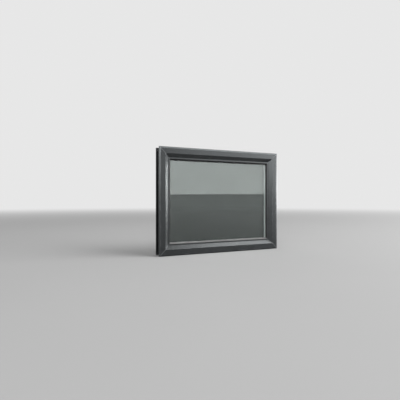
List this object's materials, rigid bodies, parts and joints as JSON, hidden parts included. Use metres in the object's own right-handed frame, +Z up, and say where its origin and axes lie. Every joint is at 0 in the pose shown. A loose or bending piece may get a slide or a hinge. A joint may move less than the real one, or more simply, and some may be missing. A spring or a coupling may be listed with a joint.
{
  "type": "shed window",
  "caption": "Fixed rectangular shed window: mitred dark grey metal frames clamp a wall panel from both sides around a sealed double pane set in black gaskets.",
  "frame": {"origin": "middle of the bottom outer frame's flat seat, on the outside face of the wall", "axes": "+X along the window to the right as seen from outside, +Y into the wall towards the room, +Z up"},
  "size_m": [0.6, 0.0565, 0.46],
  "materials": {
    "frame_paint": "satin",
    "gasket_rubber": "satin",
    "seal_foam": "matte",
    "window_glass": "polished",
    "spacer_metal": "satin",
    "break_plastic": "matte",
    "screw_steel": "satin"
  },
  "bodies": {
    "root": {"outer_frame_top": "frame_paint", "outer_frame_bottom": "frame_paint", "outer_frame_left": "frame_paint", "outer_frame_right": "frame_paint", "inner_frame_top": "frame_paint", "inner_frame_bottom": "frame_paint", "inner_frame_left": "frame_paint", "inner_frame_right": "frame_paint", "wall_seal_top": "seal_foam", "wall_seal_bottom": "seal_foam", "wall_seal_left": "seal_foam", "wall_seal_right": "seal_foam", "outer_gasket_top": "gasket_rubber", "outer_gasket_bottom": "gasket_rubber", "outer_gasket_left": "gasket_rubber", "outer_gasket_right": "gasket_rubber", "inner_gasket_top": "gasket_rubber", "inner_gasket_bottom": "gasket_rubber", "inner_gasket_left": "gasket_rubber", "inner_gasket_right": "gasket_rubber", "spacer_top": "spacer_metal", "spacer_bottom": "spacer_metal", "spacer_left": "spacer_metal", "spacer_right": "spacer_metal", "thermal_break_top": "break_plastic", "thermal_break_bottom": "break_plastic", "thermal_break_left": "break_plastic", "thermal_break_right": "break_plastic", "outer_pane": "window_glass", "inner_pane": "window_glass", "setting_block_left": "break_plastic", "setting_block_right": "break_plastic"}
  },
  "joints": []
}
